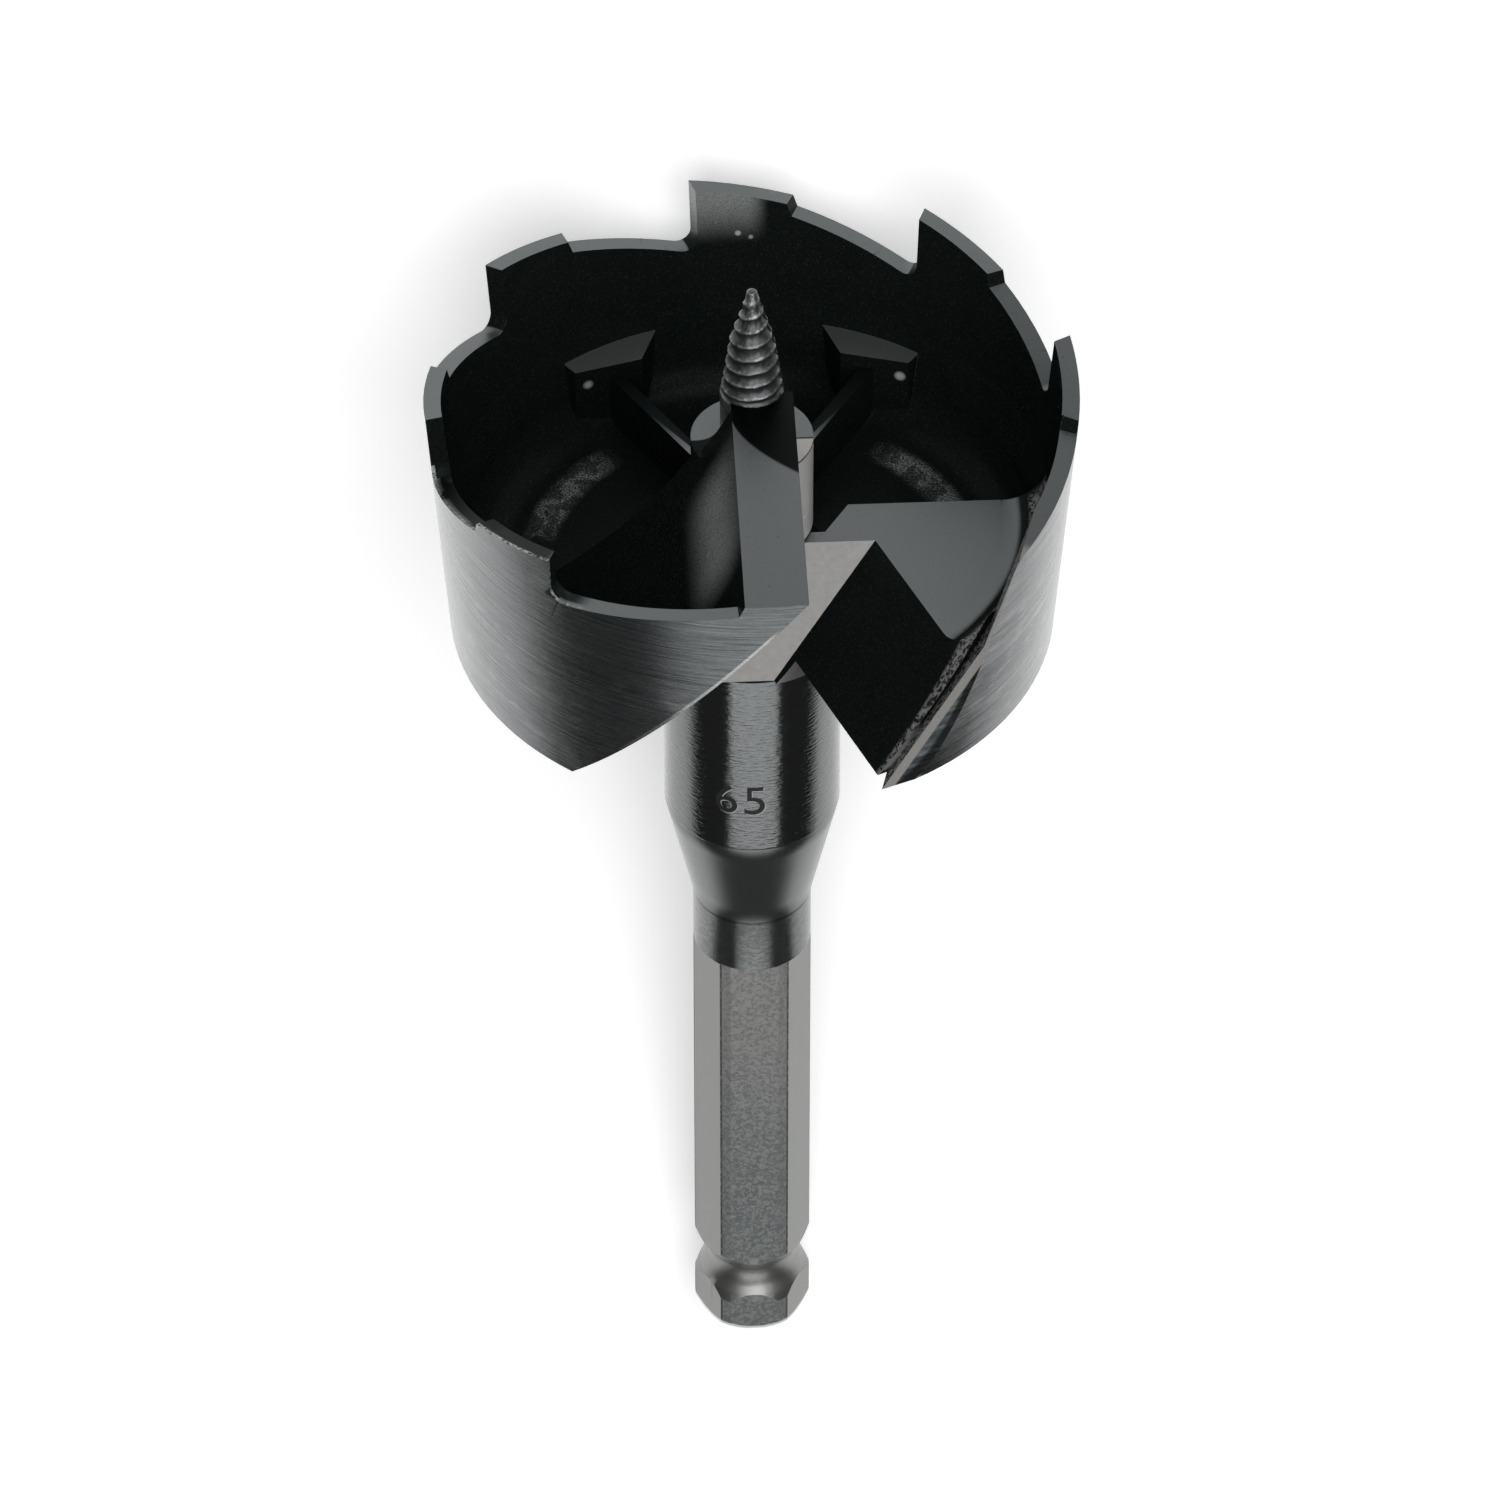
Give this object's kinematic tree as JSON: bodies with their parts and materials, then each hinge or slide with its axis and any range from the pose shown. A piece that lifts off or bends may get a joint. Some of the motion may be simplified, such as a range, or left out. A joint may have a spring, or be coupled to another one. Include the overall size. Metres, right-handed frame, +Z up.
{
  "type": "self-feed bit",
  "caption": "Large-bore wood boring bit: toothed cup with a radial chisel blade, a threaded centre point and a hexagonal quick-change shank.",
  "frame": {"origin": "centre of the bottom of the part's box, on the surface that it lies on", "axes": "+Z up from that surface, +Y along the bit from the shank towards the feed screw, +X to the right of someone who looks from the shank towards the head; the bit's own axis leans up by the lie angle of about 15 degrees"},
  "size_m": [0.0648, 0.1382, 0.068],
  "materials": {
    "black_oxide_steel": "forged and ground steel with a black oxide finish, oiled",
    "shank_steel": "turned steel, black oxide on the collar, bare grey on the drawn hexagon",
    "screw_steel": "grey steel with a cut thread",
    "set_screw_steel": "black oxide"
  },
  "bodies": {
    "root": {"cutter_head": "black_oxide_steel", "shank": "shank_steel", "feed_screw": "screw_steel", "set_screw": "set_screw_steel"}
  },
  "joints": []
}
